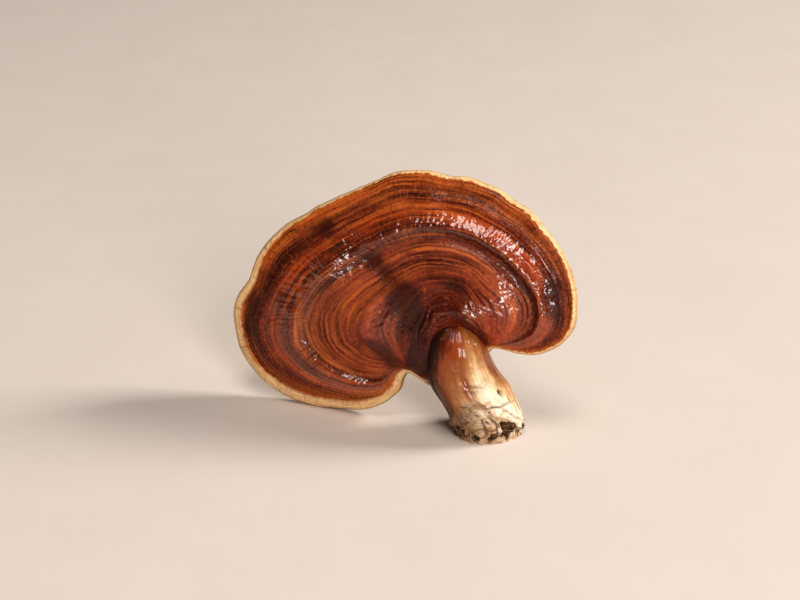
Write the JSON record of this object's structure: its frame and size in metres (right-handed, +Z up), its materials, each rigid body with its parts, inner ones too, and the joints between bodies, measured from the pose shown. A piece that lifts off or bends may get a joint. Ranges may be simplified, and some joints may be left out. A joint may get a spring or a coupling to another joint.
{
  "type": "reishi mushroom",
  "caption": "Dried reishi mushroom with a lobed, ringed kidney-shaped cap on a short stem, standing on its cut foot and the rim of one lobe.",
  "frame": {"origin": "near the middle of the flat cut at the stem's foot, on the surface it stands on", "axes": "+Z up, +X to the right along the cap's width, -Y the side that the cap's ringed face looks towards"},
  "size_m": [0.1236, 0.0512, 0.0915],
  "materials": {
    "lacquered_cap": "red-brown lacquered crust with dark rings, a cream margin and a tan pore side",
    "stem_bark": "red-brown lacquer at the head fading to tan and cream, soil on the torn foot"
  },
  "bodies": {
    "root": {"cap": "lacquered_cap", "stem": "stem_bark"}
  },
  "joints": []
}
